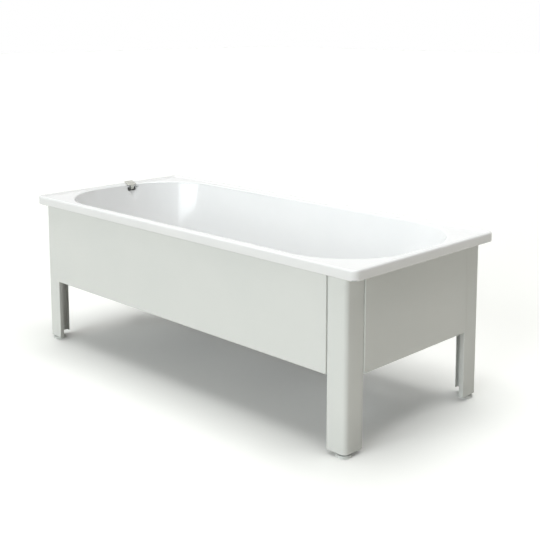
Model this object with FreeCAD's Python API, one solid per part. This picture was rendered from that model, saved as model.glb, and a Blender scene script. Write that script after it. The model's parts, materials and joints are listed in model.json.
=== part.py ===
import FreeCAD, Part
import math
import os

# An enamelled steel bathtub on four folded legs, with a pull-off front panel and end panel.
# Millimetres. +X runs along the tub to the sloping end, the front panel faces -Y, +Z is up.
# The origin lies on the floor, under the middle of the tub.

os.makedirs("parts", exist_ok=True)
Vector = FreeCAD.Vector

# ---------------------------------------------------------------- overall sizes
bath_length = 1600.0
bath_width = 700.0
bath_height = 563.0          # floor to the top of the raised rim

# ---------------------------------------------------------------- rim and basin
tub_steel = 3.0              # enamelled sheet, enamel included
skirt_height = 32.0
skirt_lip = 5.0              # rolled bottom edge of the skirt, from its outer face
rim_corner_radius = 24.0
rim_edge_radius = 7.0
bead_width = 15.0            # raised border of the rim
bead_rise = 5.0              # how far the border stands above the deck
bead_inner_radius = 3.0
side_ledge = 42.0            # outer edge to the basin opening, long sides
backrest_ledge = 37.0        # the same at the sloping end
drain_end_ledge = 25.0       # the same at the drain end
opening_corner_radius = 245.0
roll_radius = 8.0            # where the deck turns down into the basin
under_roll_radius = 4.0
basin_depth = 385.0          # deck to the basin floor
side_run = 93.0              # how far a wall moves inward over the depth
backrest_run = 270.0
drain_end_run = 115.0
floor_corner_radius = 125.0
floor_fillet = 70.0

# ---------------------------------------------------------------- overflow
overflow_past_straight = 22.0  # overflow's middle beyond the end wall's straight stretch
scoop_radius = 36.0
scoop_depth = 14.0
scoop_drop = 12.0            # deck to the top of the scoop
scoop_slope = 0.54           # inward run of the scoop's back for each millimetre down
slot_width = 40.0
slot_height = 14.0
slot_drop = 14.0             # deck to the top of the slot
gasket_thickness = 2.0
overflow_box_wall = 2.5
overflow_box_width = 76.0
overflow_box_height = 82.0
overflow_box_drop = 10.0     # deck to the top of the box
box_wall_gap = 5.0           # box's outer face to the end of the rim
cover_width = 44.0
cover_length = 30.0
cover_sheet = 1.6
cover_slope = 0.4
cover_tongue_width = 16.0
cover_tongue_reach = 20.0

# ---------------------------------------------------------------- waste
drain_from_end = 260.0       # left end of the rim to the drain's axis
drain_hole_radius = 26.0
drain_recess_radius = 43.0
drain_recess = 3.0
waste_gasket = 1.0
waste_gasket_inset = 2.0     # flange's edge to its gasket's edge
waste_gasket_play = 1.0      # drain hole's edge to the gaskets' inner edge
flange_radius = 40.0
flange_thickness = 2.0
flange_bore_radius = 22.0
sleeve_radius = 24.5
sleeve_length = 27.0
cross_height = 4.0
cross_width = 5.0
waste_screw_radius = 3.0
waste_screw_head = 4.0
cup_radius = 36.0
cup_wall = 3.0
cup_height = 67.0
cup_boss_radius = 8.0
plug_radius = 27.0
plug_height = 4.0
plug_boss_radius = 17.0
plug_boss_length = 12.0
plug_seal_height = 4.0
pipe_radius = 25.0           # waste pipe, 50 mm outside
pipe_wall = 2.0
pipe_end = 260.0             # drain's axis to the pipe's free end
pipe_stop = 200.0            # drain's axis to the stop collar's far face
pipe_stop_width = 4.0
pipe_stop_radius = 28.0
socket_wall = 2.6
socket_length = 28.0
outlet_rise = 1.5            # cup's bottom to the socket's lowest line
nut_length = 16.0
nut_wall = 5.0
seal_thickness = 3.0
down_pipe_radius = 16.0
down_pipe_wall = 2.6
inlet_length = 26.0
pipe_clip_width = 12.0
pipe_clip_sheet = 2.0

# ---------------------------------------------------------------- legs and feet
leg_setback_side = 16.0      # rim's outer face to the leg's face, long sides
leg_setback_end = 42.0       # the same at the ends
leg_flange_side = 71.0
leg_flange_end = 77.0
leg_sheet = 2.0
leg_corner_radius = 16.0
leg_lip = 16.0
leg_lip_radius = 3.0
leg_floor_gap = 15.0
foot_from_end_face = 26.0
foot_from_side_face = 26.0
foot_radius = 24.5
foot_height = 8.0
foot_edge_radius = 2.0
foot_neck_radius = 10.0
stud_radius = 6.0            # M12
stud_spare = 9.0             # thread above the nut with the foot turned right out
stud_clearance = 0.05
foot_plate_height = 40.0     # floor to the foot plate
foot_plate_thickness = 4.0
foot_plate_reach = 46.0      # leg's outer faces to the foot plate's free edges
foot_plate_cut = 14.0        # its cut inner corner
foot_nut_height = 10.0
foot_locknut_height = 6.0
foot_nut_flats = 18.0
foot_travel = 25.0

# ---------------------------------------------------------------- frame
plate_thickness = 3.0
plate_margin = 5.0           # plate's free edge to the leg's lip
rail_sheet = 2.0
upper_rail_web = 51.0
upper_rail_flange = 14.0
rail_from_leg_face = 17.0    # leg's face to the outer face of any rail
rail_end_gap = 4.0           # between a long rail's end and the end rail's inner face
end_rail_drop = 42.0         # deck's underside to the top of the upper end rail
end_rail_web = 40.0
lower_rail = 20.0            # square tube
lower_rail_wall = 1.5
lower_rail_height = 255.0
strip_thickness = 3.0
strip_inset = 1.0            # rail's inner edge to the rubber strip
bolt_radius = 3.0            # M6
bolt_nut_height = 5.0
bolt_nut_flats = 10.0
bolt_head_radius = 5.0
bolt_head_height = 4.0
bolt_tail = 3.0              # thread beyond a nut
clip_width = 30.0
clip_sheet = 2.5
clip_spacing = 500.0
clip_web_gap = 1.0           # rail's web to a clip's edge

# ---------------------------------------------------------------- panels
panel_sheet = 1.2
panel_depth = 12.0
panel_proud = 3.5            # panel's face before the legs' faces
panel_side_gap = 1.5
panel_top_gap = 2.5          # panel's top to the skirt's bottom
panel_floor_gap = 238.0
panel_edge_radius = 2.5
grip_radius = 9.0
peg_radius = 4.0
peg_clearance = 0.05
peg_shank_radius = 2.5
peg_head_radius = 4.5
peg_head_height = 2.0
grip_seat = 1.0              # play between a grip's end and the rail
peg_tip_gap = 4.0            # peg's tip to the panel's inner face
peg_bore_spare = 1.0         # grip's bore beyond the peg's tip
front_peg_inset = 90.0       # panel's edge to its pegs
end_peg_inset = 60.0
upper_peg_drop = 16.0        # panel's top to its upper pegs

# ---------------------------------------------------------------- small items
pad_length = 280.0
pad_width = 220.0
pad_thickness = 3.0
pad_gap = 140.0
earth_tag_width = 20.0
earth_tag_height = 36.0
earth_tag_hole_radius = 3.0
earth_tag_to_clip = 75.0
seat_gap = 0.3               # soft pieces beside hard ones

# ---------------------------------------------------------------- worked-out places
half_length = bath_length / 2
half_width = bath_width / 2
deck_z = bath_height - bead_rise
deck_under_z = deck_z - tub_steel
skirt_z = bath_height - skirt_height
floor_z = deck_z - basin_depth
leg_x = half_length - leg_setback_end        # outer face of a leg's end flange
leg_y = half_width - leg_setback_side        # outer face of a leg's side flange
drain_x = -half_length + drain_from_end
overflow_y = half_width - side_ledge - opening_corner_radius + overflow_past_straight
panel_top_z = skirt_z - panel_top_gap
front_panel_y = -leg_y - panel_proud
end_panel_x = leg_x + panel_proud
rail_web_y = leg_y - rail_from_leg_face      # outer face of the long rails
end_rail_web_x = leg_x - rail_from_leg_face
long_rail_end_x = end_rail_web_x - lower_rail - rail_end_gap
upper_rail_top_z = deck_under_z - strip_thickness
leg_top_z = upper_rail_top_z - rail_sheet    # the rails' flanges lie on the legs


# ---------------------------------------------------------------- helpers
def save(name, solids):
    """Write one piece, or a group of separate solids, under its name."""
    shape = solids if not isinstance(solids, list) else Part.makeCompound(solids)
    shape.exportStep("parts/" + name + ".step")
    count = len(shape.Solids)
    print(name, "solids", count, "volume", round(shape.Volume), "valid", shape.isValid())


def block(x, y, z):
    """A box given by its three (low, high) pairs."""
    return Part.makeBox(x[1] - x[0], y[1] - y[0], z[1] - z[0], Vector(x[0], y[0], z[0]))


def rod(radius, start, end):
    """A cylinder from one point to another."""
    axis = end - start
    return Part.makeCylinder(radius, axis.Length, start, axis)


def ring(outer, inner, start, end):
    return rod(outer, start, end).cut(rod(inner, start, end))


def hexagon(flats, start, height, bore):
    """A nut on a vertical axis, standing on start."""
    reach = flats / math.sqrt(3)
    corners = [
        start + Vector(reach * math.cos(k * math.pi / 3), reach * math.sin(k * math.pi / 3), 0)
        for k in range(7)
    ]
    body = Part.Face(Part.makePolygon(corners)).extrude(Vector(0, 0, height))
    return body.cut(rod(bore, start, start + Vector(0, 0, height)))


def rounded(points, place):
    """A closed wire through (u, v, radius) corners; place turns u, v into a point in space."""
    edges = []
    ends = []
    count = len(points)
    for k in range(count):
        before = Vector(*points[k - 1][:2], 0)
        corner = Vector(*points[k][:2], 0)
        after = Vector(*points[(k + 1) % count][:2], 0)
        radius = points[k][2]
        if radius == 0:
            ends.append((corner, None, corner))
            continue
        to_before = (before - corner).normalize()
        to_after = (after - corner).normalize()
        half = to_before.getAngle(to_after) / 2
        middle = (to_before + to_after).normalize()
        centre = corner + middle * (radius / math.sin(half))
        start = corner + to_before * (radius / math.tan(half))
        end = corner + to_after * (radius / math.tan(half))
        ends.append((start, centre - middle * radius, end))
    for k in range(count):
        start, top, end = ends[k]
        following = ends[(k + 1) % count][0]
        if top is not None:
            edges.append(Part.Arc(place(start), place(top), place(end)).toShape())
        if (following - end).Length > 1e-6:
            edges.append(Part.makeLine(place(end), place(following)))
    return Part.Wire(edges)


def outline(x, y, radius, z):
    """A rounded rectangle, level, at height z."""
    corners = [(x[0], y[0], radius), (x[1], y[0], radius), (x[1], y[1], radius), (x[0], y[1], radius)]
    return rounded(corners, lambda p: Vector(p.x, p.y, z))


def slab(x, y, radius, z):
    """A rounded rectangle standing between two heights."""
    return Part.Face(outline(x, y, radius, z[0])).extrude(Vector(0, 0, z[1] - z[0]))


def inset_slab(inset, z):
    """A slab as large as the rim, drawn in by inset all round."""
    reach_x = half_length - inset
    reach_y = half_width - inset
    radius = max(rim_corner_radius - inset, bead_inner_radius)
    return slab((-reach_x, reach_x), (-reach_y, reach_y), radius, z)


def level_edges(shape, z):
    """The edges of a shape that lie wholly at one height."""
    return [e for e in shape.Edges if abs(e.BoundBox.ZMin - z) < 0.01 and abs(e.BoundBox.ZMax - z) < 0.01]


def inside_rim(edge, inset):
    """True where an edge keeps at least inset away from the rim's outer face."""
    box = edge.BoundBox
    reach_x = max(abs(box.XMin), abs(box.XMax))
    reach_y = max(abs(box.YMin), abs(box.YMax))
    return reach_x < half_length - inset and reach_y < half_width - inset


def upright_edges(shape, test):
    """The vertical edges of a shape whose middle passes a test of x and y."""
    found = []
    for edge in shape.Edges:
        box = edge.BoundBox
        if box.XLength < 0.01 and box.YLength < 0.01 and test(box.Center):
            found.append(edge)
    return found


def mirrored(shape, along_x, along_y):
    """A shape of the +X +Y corner, carried to another corner."""
    origin = Vector(0, 0, 0)
    if along_x:
        shape = shape.mirror(origin, Vector(1, 0, 0))
    if along_y:
        shape = shape.mirror(origin, Vector(0, 1, 0))
    return shape


def at_corners(shape):
    """The same shape at all four corners, keyed by the corner's name."""
    return {
        "front_left": mirrored(shape, True, True),
        "front_right": mirrored(shape, False, True),
        "rear_left": mirrored(shape, True, False),
        "rear_right": shape,
    }


# ---------------------------------------------------------------- tub shell
def wall_shift(offset, run):
    """Sideways shift of a sloping wall's plane that moves it outward by offset."""
    slope = run / basin_depth
    return offset * math.sqrt(1 + slope * slope)


def basin_wall(reach, offset, run, drop):
    """Where a basin wall lies, drop below the deck."""
    return reach + wall_shift(offset, run) - run * drop / basin_depth


def basin_outline(offset, drop, radius):
    x_low = -basin_wall(half_length - drain_end_ledge, offset, drain_end_run, drop)
    x_high = basin_wall(half_length - backrest_ledge, offset, backrest_run, drop)
    y_high = basin_wall(half_width - side_ledge, offset, side_run, drop)
    return outline((x_low, x_high), (-y_high, y_high), radius + offset, deck_z - drop)


def scoop(offset):
    """The overflow's scoop: a tilted cylinder that fades out down the end wall."""
    top_z = deck_z - scoop_drop + offset
    back_x = basin_wall(half_length - drain_end_ledge, 0, drain_end_run, scoop_drop) + scoop_depth
    lean = math.hypot(1, scoop_slope)
    axis_x = -back_x + scoop_radius * lean
    down = Vector(scoop_slope, 0, -1)
    start = Vector(axis_x, overflow_y, deck_z - scoop_drop) - down * scoop_radius
    body = rod(scoop_radius + offset, start, start + down * (4 * scoop_radius))
    reach = 3 * scoop_radius
    across = (overflow_y - reach, overflow_y + reach)
    return body.cut(block((-half_length, axis_x + reach), across, (top_z, top_z + reach)))


def basin_body(offset):
    """The basin's hollow, or with an offset the outside of its walls, down to its floor."""
    top = basin_outline(offset, 0, opening_corner_radius)
    bottom = basin_outline(offset, basin_depth + offset, floor_corner_radius)
    body = Part.makeLoft([top, bottom], True, True)
    return body.makeFillet(floor_fillet + offset, level_edges(body, floor_z - offset))


def scooped_body(offset):
    """The basin with the overflow's scoop pressed into the drain end."""
    return basin_body(offset).fuse(scoop_piece(offset))


def scoop_piece(offset):
    """The part of the scoop's cylinder that lies behind the end wall."""
    inside = block((-half_length, drain_x), (-half_width, half_width), (floor_z + floor_fillet, deck_z))
    return scoop(offset).common(inside)


def make_tub_shell():
    rim = inset_slab(0, (skirt_z, bath_height))
    rim = rim.makeFillet(rim_edge_radius, level_edges(rim, bath_height))
    under_bead = inset_slab(tub_steel, (skirt_z - 1, bath_height - tub_steel))
    under_bead = under_bead.makeFillet(
        rim_edge_radius - tub_steel, level_edges(under_bead, bath_height - tub_steel)
    )
    deck = inset_slab(bead_width - tub_steel, (deck_under_z, bath_height))
    lip = inset_slab(0, (skirt_z, skirt_z + tub_steel)).cut(
        inset_slab(skirt_lip, (skirt_z - 1, skirt_z + tub_steel + 1))
    )
    top = rim.cut(under_bead.cut(deck)).fuse(lip)
    shell = top.fuse(basin_body(tub_steel)).removeSplitter()
    opening = basin_outline(tub_steel, tub_steel, opening_corner_radius).BoundBox
    underside = [
        e
        for e in level_edges(shell, deck_under_z)
        if e.BoundBox.XMin > opening.XMin - 2
        and e.BoundBox.XMax < opening.XMax + 2
        and e.BoundBox.YMin > opening.YMin - 2
        and e.BoundBox.YMax < opening.YMax + 2
    ]
    shell = shell.makeFillet(under_roll_radius, underside)
    above_deck = inset_slab(bead_width, (deck_z, bath_height + 10))
    hollow = above_deck.fuse(basin_body(0)).removeSplitter()
    mouth = [e for e in level_edges(hollow, deck_z) if e.BoundBox.YMax < half_width - side_ledge + 1
             and e.BoundBox.YMin > -half_width + side_ledge - 1]
    hollow = hollow.makeFillet(roll_radius, mouth)
    shell = shell.fuse(scoop_piece(tub_steel)).cut(hollow).cut(scoop_piece(0))
    bead_edge = [e for e in level_edges(shell, bath_height) if inside_rim(e, bead_width - 1)]
    shell = shell.makeFillet(bead_inner_radius, bead_edge)
    axis = Vector(drain_x, 0, 0)
    level = axis + Vector(0, 0, floor_z)
    dish = Vector(0, 0, drain_recess)
    sheet = Vector(0, 0, tub_steel)
    shell = shell.fuse(rod(drain_recess_radius + tub_steel, level - dish - sheet, level))
    shell = shell.cut(rod(drain_recess_radius, level - dish, level + sheet))
    shell = shell.cut(rod(drain_hole_radius, axis, level))
    slot = block(
        (-half_length + skirt_lip, -half_length + 2 * drain_end_ledge),
        (overflow_y - slot_width / 2, overflow_y + slot_width / 2),
        (deck_z - slot_drop - slot_height, deck_z - slot_drop),
    )
    return shell.cut(slot).removeSplitter()


save("tub_shell", make_tub_shell())


# ---------------------------------------------------------------- overflow at the drain end
box_outer_x = -half_length + box_wall_gap
box_top_z = deck_z - overflow_box_drop
box_bottom_z = box_top_z - overflow_box_height
down_pipe_top = Vector(box_outer_x + down_pipe_radius, overflow_y, box_bottom_z - pipe_clip_width)


def overflow_prism(inset):
    """The space of the overflow box, drawn in by inset, open towards the basin."""
    reach = overflow_box_width / 2 - inset
    return block(
        (box_outer_x + inset, drain_x),
        (overflow_y - reach, overflow_y + reach),
        (box_bottom_z + inset, box_top_z - inset),
    )


def make_overflow_box():
    wall = scooped_body(tub_steel + gasket_thickness)
    body = overflow_prism(0).cut(wall)
    joint = Vector(down_pipe_top.x, down_pipe_top.y, box_bottom_z + overflow_box_wall)
    body = body.fuse(rod(down_pipe_radius, down_pipe_top, joint))
    body = body.cut(overflow_prism(overflow_box_wall).cut(wall))
    return body.cut(rod(down_pipe_radius - down_pipe_wall, down_pipe_top, joint))


def make_overflow_gasket():
    frame = overflow_prism(0).cut(overflow_prism(overflow_box_wall))
    outer = scooped_body(tub_steel + gasket_thickness)
    return frame.common(outer).cut(scooped_body(tub_steel))


def make_overflow_cover():
    """A sloping plate that rests on the bead's inner edge, with a tongue hooked into the slot."""
    lean = math.atan(cover_slope)
    touch_x = -half_length + bead_width - bead_inner_radius * (1 - math.sin(lean))
    touch_z = bath_height - bead_inner_radius * (1 - math.cos(lean)) + seat_gap
    start_x = touch_x - cover_length / 3
    end_x = start_x + cover_length
    start_z = touch_z + cover_slope * (touch_x - start_x)
    end_z = start_z - cover_slope * cover_length
    tongue_z = deck_z - slot_drop - slot_height / 2
    tip_x = end_x - cover_tongue_reach

    def strip(points, width):
        low = overflow_y - width / 2
        wire = rounded(points, lambda p: Vector(p.x, low, p.y))
        return Part.Face(wire).extrude(Vector(0, width, 0))

    plate = strip(
        [
            (start_x, start_z, 0),
            (end_x, end_z, 0),
            (end_x, end_z + cover_sheet, 0),
            (start_x, start_z + cover_sheet, 0),
        ],
        cover_width,
    )
    tongue = strip(
        [
            (end_x - cover_sheet, end_z + cover_sheet, 0),
            (end_x - cover_sheet, tongue_z, 0),
            (tip_x, tongue_z, 0),
            (tip_x, tongue_z - cover_sheet, 0),
            (end_x, tongue_z - cover_sheet, cover_sheet),
            (end_x, end_z + cover_sheet, 0),
        ],
        cover_tongue_width,
    )
    return plate.fuse(tongue).removeSplitter()


save("overflow_box", make_overflow_box())
save("overflow_gasket", make_overflow_gasket())
save("overflow_cover", make_overflow_cover())


# ---------------------------------------------------------------- waste at the basin floor
dish_top_z = floor_z - drain_recess
dish_under_z = dish_top_z - tub_steel
flange_under_z = dish_top_z + waste_gasket
flange_top_z = flange_under_z + flange_thickness
sleeve_bottom_z = flange_under_z - sleeve_length
cup_top_z = dish_under_z - waste_gasket
cup_bottom_z = cup_top_z - cup_height
outlet_z = cup_bottom_z + pipe_radius + socket_wall + outlet_rise
inlet_z = cup_bottom_z + cup_height / 2
down_pipe_end = Vector(drain_x - cup_radius - inlet_length, 0, inlet_z)
gasket_bore = drain_hole_radius + waste_gasket_play


def at_drain(z):
    return Vector(drain_x, 0, z)


def on_outlet(y):
    return Vector(drain_x, y, outlet_z)


def make_waste_flange():
    body = rod(flange_radius, at_drain(flange_under_z), at_drain(flange_top_z))
    body = body.fuse(rod(sleeve_radius, at_drain(sleeve_bottom_z), at_drain(flange_under_z)))
    bore = rod(flange_bore_radius, at_drain(sleeve_bottom_z), at_drain(flange_top_z))
    body = body.cut(bore)
    reach = (flange_bore_radius + sleeve_radius) / 2
    half = cross_width / 2
    height = (sleeve_bottom_z, sleeve_bottom_z + cross_height)
    cross = block((drain_x - reach, drain_x + reach), (-half, half), height)
    cross = cross.fuse(block((drain_x - half, drain_x + half), (-reach, reach), height))
    hub = rod(cup_boss_radius, at_drain(height[0]), at_drain(height[1]))
    hole = rod(waste_screw_radius, at_drain(height[0]), at_drain(height[1]))
    return body.fuse(cross).fuse(hub).cut(hole).removeSplitter()


def make_waste_cup():
    bottom = cup_bottom_z
    inner = cup_radius - cup_wall
    socket_end = cup_radius + socket_length
    shoulder = cup_radius + socket_wall
    body = rod(cup_radius, at_drain(bottom), at_drain(cup_top_z))
    body = body.fuse(rod(pipe_radius + socket_wall, on_outlet(0), on_outlet(socket_end)))
    body = body.fuse(rod(down_pipe_radius, at_drain(inlet_z), down_pipe_end))
    body = body.cut(rod(inner, at_drain(bottom + cup_wall), at_drain(cup_top_z)))
    body = body.cut(rod(pipe_radius - pipe_wall, on_outlet(0), on_outlet(shoulder)))
    body = body.cut(rod(pipe_radius, on_outlet(shoulder), on_outlet(socket_end)))
    body = body.cut(rod(down_pipe_radius - down_pipe_wall, at_drain(inlet_z), down_pipe_end))
    boss_top = sleeve_bottom_z - seat_gap
    boss = rod(cup_boss_radius, at_drain(bottom), at_drain(boss_top))
    thread = rod(waste_screw_radius, at_drain(bottom + cup_wall), at_drain(boss_top))
    return body.fuse(boss).cut(thread).removeSplitter()


def make_waste_screw():
    head_z = sleeve_bottom_z + cross_height
    head = rod(2 * waste_screw_radius, at_drain(head_z), at_drain(head_z + waste_screw_head))
    shank = rod(waste_screw_radius, at_drain(cup_bottom_z + cup_wall), at_drain(head_z))
    return head.fuse(shank)


def make_waste_plug():
    low = flange_top_z + seat_gap
    disc = rod(plug_radius, at_drain(low), at_drain(low + plug_height))
    disc = disc.makeFillet(plug_height / 2, level_edges(disc, low + plug_height))
    boss = rod(plug_boss_radius, at_drain(low - plug_boss_length), at_drain(low))
    knob = rod(plug_boss_radius / 2, at_drain(low + plug_height), at_drain(low + 2 * plug_height))
    knob = knob.makeFillet(plug_height / 3, level_edges(knob, low + 2 * plug_height))
    return disc.fuse(boss).fuse(knob)


def make_plug_seal():
    middle = flange_top_z + seat_gap - plug_boss_length / 2
    low = at_drain(middle - plug_seal_height / 2)
    high = at_drain(middle + plug_seal_height / 2)
    return ring(flange_bore_radius - seat_gap, plug_boss_radius, low, high)


def make_outlet_pipe():
    """A straight waste pipe with a stop collar; beyond the collar it is a free spigot."""
    start = on_outlet(cup_radius + socket_wall)
    body = ring(pipe_radius, pipe_radius - pipe_wall, start, on_outlet(pipe_end))
    stop = (on_outlet(pipe_stop - pipe_stop_width), on_outlet(pipe_stop))
    return body.fuse(ring(pipe_stop_radius, pipe_radius - pipe_wall, *stop)).removeSplitter()


def make_outlet_nut():
    bore = pipe_radius + socket_wall
    end = cup_radius + socket_length + seal_thickness
    body = ring(bore + nut_wall, bore, on_outlet(end - nut_length), on_outlet(end))
    lip = ring(bore + nut_wall, pipe_radius, on_outlet(end), on_outlet(end + seal_thickness))
    return body.fuse(lip).removeSplitter()


def make_outlet_seal():
    start = cup_radius + socket_length
    return ring(pipe_radius + socket_wall, pipe_radius, on_outlet(start), on_outlet(start + seal_thickness))


def overflow_path():
    """Down beside the drain end, then in two bends to the cup's inlet."""
    corner = Vector(down_pipe_top.x, down_pipe_top.y, inlet_z)
    turn = Vector((corner.x + down_pipe_end.x) / 2, 0, inlet_z)
    points = [down_pipe_top, corner, turn, down_pipe_end]
    edges = []
    last = points[0]
    for k in (1, 2):
        to_before = (points[k - 1] - points[k]).normalize()
        to_after = (points[k + 1] - points[k]).normalize()
        half = to_before.getAngle(to_after) / 2
        short = min((points[k - 1] - points[k]).Length, (points[k + 1] - points[k]).Length)
        tangent = 0.45 * short
        radius = tangent * math.tan(half)
        middle = (to_before + to_after).normalize()
        start = points[k] + to_before * tangent
        end = points[k] + to_after * tangent
        top = points[k] + middle * (radius / math.sin(half) - radius)
        edges.append(Part.makeLine(last, start))
        edges.append(Part.Arc(start, top, end).toShape())
        print("pipe bend radius", round(radius, 1))
        last = end
    edges.append(Part.makeLine(last, points[-1]))
    return Part.Wire(edges)


def make_overflow_pipe():
    path = overflow_path()

    def tube(radius):
        circle = Part.Wire(Part.makeCircle(radius, down_pipe_top, Vector(0, 0, -1)))
        return path.makePipeShell([circle], True, False)

    body = tube(down_pipe_radius).cut(tube(down_pipe_radius - down_pipe_wall))
    section = math.pi * (down_pipe_radius**2 - (down_pipe_radius - down_pipe_wall) ** 2)
    print("pipe volume over section times length", round(body.Volume / (section * path.Length), 4))
    return body


def make_pipe_clips():
    outer = down_pipe_radius + pipe_clip_sheet
    half = pipe_clip_width / 2
    upright = Vector(0, 0, half)
    level = Vector(half, 0, 0)
    return [
        ring(outer, down_pipe_radius, down_pipe_top - upright, down_pipe_top + upright),
        ring(outer, down_pipe_radius, down_pipe_end - level, down_pipe_end + level),
    ]


save("waste_flange", make_waste_flange())
save(
    "waste_gasket_upper",
    ring(flange_radius - waste_gasket_inset, gasket_bore, at_drain(dish_top_z), at_drain(flange_under_z)),
)
save(
    "waste_gasket_lower",
    ring(cup_radius, gasket_bore, at_drain(cup_top_z), at_drain(dish_under_z)),
)
save("waste_cup", make_waste_cup())
save("waste_screw", make_waste_screw())
save("waste_plug", make_waste_plug())
save("plug_seal", make_plug_seal())
save("outlet_pipe", make_outlet_pipe())
save("outlet_nut", make_outlet_nut())
save("outlet_seal", make_outlet_seal())
save("overflow_pipe", make_overflow_pipe())
save("pipe_clips", make_pipe_clips())


# ---------------------------------------------------------------- legs, plates and feet
def leg_place(z):
    """Turns (inward along X, inward along Y) from the +X +Y leg's corner into a point."""
    return lambda p: Vector(leg_x - p.x, leg_y - p.y, z)


def make_leg():
    far = leg_flange_side
    wide = leg_flange_end
    inner = leg_sheet
    bend = leg_lip_radius
    inner_bend = bend - inner
    points = [
        (0, 0, leg_corner_radius),
        (far, 0, bend),
        (far, leg_lip, 0),
        (far - inner, leg_lip, 0),
        (far - inner, inner, inner_bend),
        (inner, inner, leg_corner_radius - inner),
        (inner, wide - inner, inner_bend),
        (leg_lip, wide - inner, 0),
        (leg_lip, wide, 0),
        (0, wide, bend),
    ]
    face = Part.Face(rounded(points, leg_place(leg_floor_gap)))
    return face.extrude(Vector(0, 0, leg_top_z - leg_floor_gap))


def plate_in_leg(corners, low_z, thickness, holes):
    """A plate in the inside of the leg's corner; holes are (x, y, radius)."""
    start = (leg_sheet, leg_sheet, leg_corner_radius - leg_sheet)
    points = [start] + [(u, v, 0) for u, v in corners]
    plate = Part.Face(rounded(points, leg_place(low_z))).extrude(Vector(0, 0, thickness))
    for x, y, radius in holes:
        plate = plate.cut(rod(radius, Vector(x, y, low_z), Vector(x, y, low_z + thickness)))
    return plate


def corner_plate(low_z, holes):
    """A frame plate that reaches almost to the leg's lips."""
    far = leg_flange_side - leg_sheet - plate_margin
    wide = leg_flange_end - leg_sheet - plate_margin
    return plate_in_leg([(far, leg_sheet), (far, wide), (leg_sheet, wide)], low_z, plate_thickness, holes)


def make_foot_plate():
    """A smaller plate with a cut corner, which the levelling stud is screwed through."""
    far = foot_plate_reach
    cut = far - foot_plate_cut
    corners = [(far, leg_sheet), (far, cut), (cut, far), (leg_sheet, far)]
    holes = [(foot_x, foot_y, stud_hole)]
    return plate_in_leg(corners, foot_plate_height, foot_plate_thickness, holes)


def nut(x, y, top_z):
    """A frame nut under something whose underside is at top_z."""
    return hexagon(bolt_nut_flats, Vector(x, y, top_z - bolt_nut_height), bolt_nut_height, bolt_radius)


def bolt(x, y, low_z, high_z):
    return rod(bolt_radius, Vector(x, y, low_z), Vector(x, y, high_z))


foot_x = leg_x - foot_from_end_face
foot_y = leg_y - foot_from_side_face
foot_plate_top_z = foot_plate_height + foot_plate_thickness
stud_top_z = foot_plate_top_z + foot_nut_height + foot_travel + stud_spare
stud_hole = stud_radius + stud_clearance
upper_plate_top_z = upper_rail_top_z - rail_sheet
upper_bolt_x = long_rail_end_x - lower_rail / 2
upper_bolt_y = rail_web_y - rail_sheet + upper_rail_flange / 2
upper_plate_low_z = upper_plate_top_z - plate_thickness
lower_bolts = [
    (long_rail_end_x - lower_rail / 2, rail_web_y - lower_rail / 2),
    (end_rail_web_x - lower_rail / 2, leg_y - leg_flange_end + leg_lip + lower_rail / 2),
]
lower_plate_low_z = lower_rail_height - plate_thickness
lower_rail_top_z = lower_rail_height + lower_rail


def make_foot_stud():
    """The levelling stud with its round neck, standing in the foot's pad."""
    axis = Vector(foot_x, foot_y, 0)
    neck_top = Vector(foot_x, foot_y, leg_floor_gap)
    neck = rod(foot_neck_radius, axis + Vector(0, 0, foot_height), neck_top)
    return neck.fuse(rod(stud_radius, neck_top, Vector(foot_x, foot_y, stud_top_z)))


def make_foot_pad():
    axis = Vector(foot_x, foot_y, 0)
    pad = rod(foot_radius, axis, axis + Vector(0, 0, foot_height))
    return pad.makeFillet(foot_edge_radius, level_edges(pad, foot_height))


def everywhere(shape):
    return list(at_corners(shape).values())


for name, leg in at_corners(make_leg()).items():
    save("leg_" + name, leg)
for name, pad in at_corners(make_foot_pad()).items():
    save("foot_pad_" + name, pad)
for name, stud in at_corners(make_foot_stud()).items():
    save("foot_stud_" + name, stud)
foot_base = Vector(foot_x, foot_y, foot_plate_top_z)
locknut_base = Vector(foot_x, foot_y, foot_plate_height - foot_locknut_height)
save("foot_plates", everywhere(make_foot_plate()))
save("foot_nuts", everywhere(hexagon(foot_nut_flats, foot_base, foot_nut_height, stud_hole)))
save("foot_locknuts", everywhere(hexagon(foot_nut_flats, locknut_base, foot_locknut_height, stud_hole)))
upper_plate = corner_plate(upper_plate_low_z, [(upper_bolt_x, upper_bolt_y, bolt_radius)])
web_slit = block(
    (0, long_rail_end_x + seat_gap),
    (rail_web_y - rail_sheet - seat_gap, rail_web_y + seat_gap),
    (upper_plate_low_z, upper_plate_top_z),
)
save("corner_plates_upper", everywhere(upper_plate.cut(web_slit)))
lower_holes = [(x, y, bolt_radius) for x, y in lower_bolts]
save("corner_plates_lower", everywhere(corner_plate(lower_plate_low_z, lower_holes)))


# ---------------------------------------------------------------- frame rails
def both_sides(shape):
    """A shape of the +Y side, then the same at the -Y side."""
    return {"rear": shape, "front": mirrored(shape, False, True)}


front_peg_x = half_length - leg_setback_end - leg_flange_side - front_peg_inset
end_peg_y = half_width - leg_setback_side - leg_flange_end - end_peg_inset
front_upper_peg_z = panel_top_z - upper_peg_drop
end_rail_top_z = deck_under_z - end_rail_drop
end_upper_peg_z = end_rail_top_z - end_rail_web / 2
lower_peg_z = lower_rail_height + lower_rail / 2


def shank_holes(points, sheet, outward):
    """Holes through a rail's outer sheet for the pegs' shanks."""
    return [rod(peg_shank_radius, point - outward * sheet, point) for point in points]


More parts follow.
